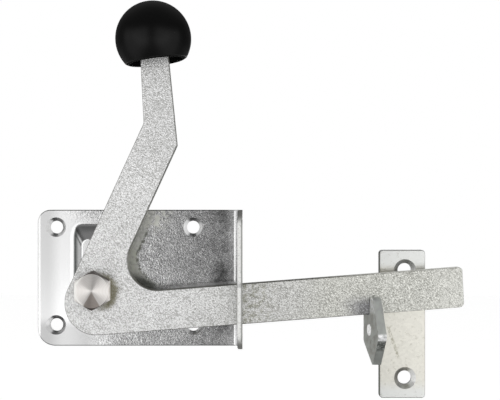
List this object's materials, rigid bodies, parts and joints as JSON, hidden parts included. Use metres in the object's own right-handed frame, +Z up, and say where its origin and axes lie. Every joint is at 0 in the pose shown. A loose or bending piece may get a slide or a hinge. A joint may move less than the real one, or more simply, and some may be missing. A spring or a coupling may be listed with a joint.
{
  "type": "gate bolt",
  "caption": "Throw-over gate bolt: a ball-handled lever turns on a bent base plate and drops its long arm into a hooked keeper plate.",
  "frame": {"origin": "middle of the base plate's four screw holes, on the back plane of both plates", "axes": "+X along the arm towards the keeper, +Z up, -Y towards the viewer, away from the gate"},
  "size_m": [0.2155, 0.038, 0.2009],
  "materials": {
    "galvanised_steel": "galvanised sheet, satin with a fine grain",
    "keeper_steel": "smooth zinc-coated plate, satin",
    "lever_steel": "galvanised flat bar with a sparkling grain",
    "black_plastic": "moulded, satin black",
    "bolt_steel": "turned face with radial sheen",
    "zinc_plated_steel": "bright zinc plated"
  },
  "bodies": {
    "frame": {"base_plate": "galvanised_steel", "keeper_plate": "keeper_steel", "pivot_bolt": "bolt_steel", "bearing_washer": "zinc_plated_steel", "lock_washer": "zinc_plated_steel", "lock_nut": "zinc_plated_steel"},
    "lever": {"lever": "lever_steel", "ball_knob": "black_plastic"}
  },
  "joints": [
    {"name": "lever_pivot", "type": "hinge", "parent": "frame", "child": "lever", "pos_m": [-0.014, -0.012, -0.006], "axis": [0, -1, 0], "range_deg": [0, 22]}
  ]
}
